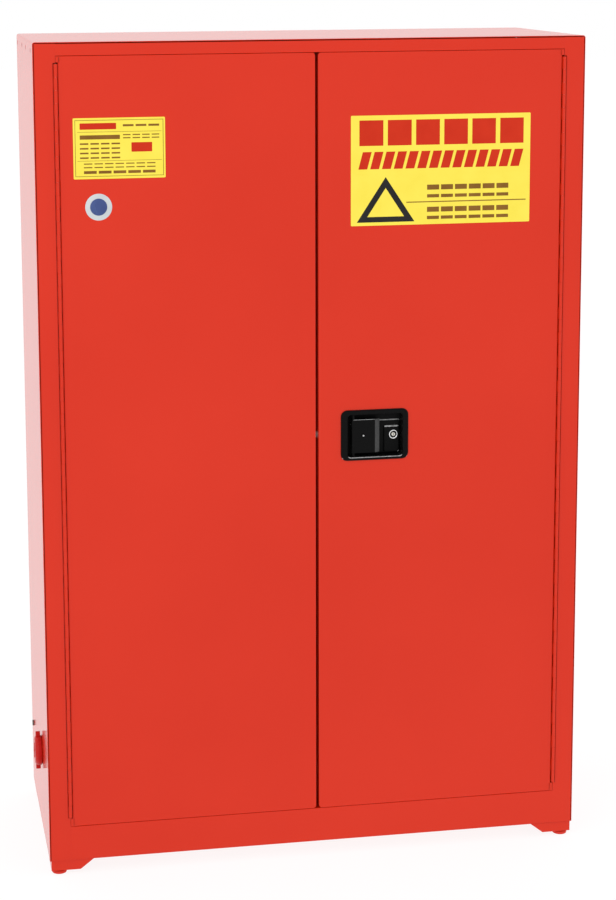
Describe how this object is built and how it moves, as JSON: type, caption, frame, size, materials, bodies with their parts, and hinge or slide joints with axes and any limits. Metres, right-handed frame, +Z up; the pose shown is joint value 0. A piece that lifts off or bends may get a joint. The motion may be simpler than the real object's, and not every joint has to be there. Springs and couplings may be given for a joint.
{
  "type": "flammable storage cabinet",
  "caption": "Red double-wall steel safety cabinet with two hinged doors, recessed paddle handle, three-point latch, spill shelves, side vents and levelling feet.",
  "frame": {"origin": "on the floor, at the middle of the cabinet's footprint", "axes": "+Z up, the doors face -Y, +X to the right of someone facing the doors"},
  "size_m": [1.1238, 0.4618, 1.668],
  "materials": {
    "case_paint": "gloss",
    "door_paint": "gloss",
    "liner_paint": "gloss",
    "galvanised_steel": "satin",
    "zinc_plated_steel": "satin",
    "black_plastic": "satin",
    "chrome": "gloss",
    "brass": "satin"
  },
  "bodies": {
    "root": {"left_side_panel": "case_paint", "right_side_panel": "case_paint", "back_panel": "case_paint", "top_panel": "case_paint", "bottom_panel": "case_paint", "left_liner": "liner_paint", "right_liner": "liner_paint", "back_liner": "liner_paint", "top_liner": "liner_paint", "sump_pan": "liner_paint", "header_rail": "case_paint", "sill_rail": "case_paint", "left_stile": "case_paint", "right_stile": "case_paint", "left_hinge_frame_leaf": "case_paint", "right_hinge_frame_leaf": "case_paint", "left_hinge_pin": "zinc_plated_steel", "right_hinge_pin": "zinc_plated_steel", "shelf_standard_left_front": "galvanised_steel", "shelf_standard_left_rear": "galvanised_steel", "shelf_standard_right_front": "galvanised_steel", "shelf_standard_right_rear": "galvanised_steel", "shelf_1": "galvanised_steel", "shelf_2": "galvanised_steel", "shelf_3": "galvanised_steel", "shelf_4": "galvanised_steel", "shelf_5": "galvanised_steel", "leg_front_left": "case_paint", "leg_front_right": "case_paint", "leg_rear_left": "case_paint", "leg_rear_right": "case_paint", "left_vent_tube": "case_paint", "right_vent_tube": "case_paint", "left_flame_screen": "zinc_plated_steel", "right_flame_screen": "zinc_plated_steel", "ground_screw": "zinc_plated_steel"},
    "left_door": {"left_door_skin": "door_paint", "left_door_liner": "liner_paint", "left_hinge_door_leaf": "case_paint", "astragal": "door_paint", "centre_strike": "zinc_plated_steel"},
    "right_door": {"right_door_skin": "door_paint", "right_door_liner": "liner_paint", "right_hinge_door_leaf": "case_paint", "handle_housing": "black_plastic", "lock_cylinder": "chrome", "latch_case": "zinc_plated_steel", "rod_spring": "zinc_plated_steel"},
    "paddle": {"paddle": "black_plastic"},
    "latch_cam": {"latch_cam": "zinc_plated_steel"},
    "latch_bolt": {"latch_bolt": "zinc_plated_steel"},
    "top_rod": {"top_rod": "zinc_plated_steel"},
    "bottom_rod": {"bottom_rod": "zinc_plated_steel"},
    "lock_plug": {"lock_plug": "brass"},
    "left_vent_cap": {"left_vent_cap": "case_paint"},
    "right_vent_cap": {"right_vent_cap": "case_paint"},
    "levelling_foot_front_left": {"levelling_foot_front_left": "case_paint"},
    "levelling_foot_front_right": {"levelling_foot_front_right": "case_paint"},
    "levelling_foot_rear_left": {"levelling_foot_rear_left": "case_paint"},
    "levelling_foot_rear_right": {"levelling_foot_rear_right": "case_paint"}
  },
  "joints": [
    {"name": "left_door_hinge", "type": "hinge", "parent": "root", "child": "left_door", "pos_m": [-0.503, -0.2296, 0.874], "axis": [0, 0, -1], "range_deg": [0, 180]},
    {"name": "right_door_hinge", "type": "hinge", "parent": "root", "child": "right_door", "pos_m": [0.503, -0.2296, 0.874], "axis": [0, 0, 1], "range_deg": [0, 180]},
    {"name": "paddle_pull", "type": "hinge", "parent": "right_door", "child": "paddle", "pos_m": [0.0775, -0.2246, 0.8764], "axis": [0, 0, -1], "range_deg": [0, 25], "stiffness_Nm_per_rad": 0.5, "springref_deg": -11.46},
    {"name": "latch_cam_turn", "type": "hinge", "parent": "right_door", "child": "latch_cam", "pos_m": [0.1, -0.2025, 0.8785], "axis": [0, 1, 0], "range_deg": [0, 32.1]},
    {"name": "latch_bolt_slide", "type": "slide", "parent": "right_door", "child": "latch_bolt", "axis": [1, 0, 0], "range_m": [0, 0.0122]},
    {"name": "top_rod_slide", "type": "slide", "parent": "right_door", "child": "top_rod", "axis": [0, 0, -1], "range_m": [0, 0.01212], "deforming": ["rod_spring"]},
    {"name": "bottom_rod_slide", "type": "slide", "parent": "right_door", "child": "bottom_rod", "axis": [0, 0, 1], "range_m": [0, 0.0122]},
    {"name": "lock_turn", "type": "hinge", "parent": "right_door", "child": "lock_plug", "pos_m": [0.1622, -0.21, 0.875], "axis": [0, -1, 0], "range_deg": [0, 90]},
    {"name": "left_vent_cap_pull", "type": "slide", "parent": "root", "child": "left_vent_cap", "axis": [-1, 0, 0], "range_m": [0, 0.04]},
    {"name": "right_vent_cap_pull", "type": "slide", "parent": "root", "child": "right_vent_cap", "axis": [1, 0, 0], "range_m": [0, 0.04]},
    {"name": "front_left_foot_level", "type": "slide", "parent": "root", "child": "levelling_foot_front_left", "axis": [0, 0, -1], "range_m": [0, 0.012]},
    {"name": "front_right_foot_level", "type": "slide", "parent": "root", "child": "levelling_foot_front_right", "axis": [0, 0, -1], "range_m": [0, 0.012]},
    {"name": "rear_left_foot_level", "type": "slide", "parent": "root", "child": "levelling_foot_rear_left", "axis": [0, 0, -1], "range_m": [0, 0.012]},
    {"name": "rear_right_foot_level", "type": "slide", "parent": "root", "child": "levelling_foot_rear_right", "axis": [0, 0, -1], "range_m": [0, 0.012]}
  ],
  "couplings": [
    {"joint": "paddle_pull", "follows": "top_rod_slide", "rad_per_m": 35.977},
    {"joint": "latch_cam_turn", "follows": "top_rod_slide", "rad_per_m": 46.051},
    {"joint": "latch_bolt_slide", "follows": "top_rod_slide", "ratio": 1},
    {"joint": "bottom_rod_slide", "follows": "top_rod_slide", "ratio": 1}
  ]
}
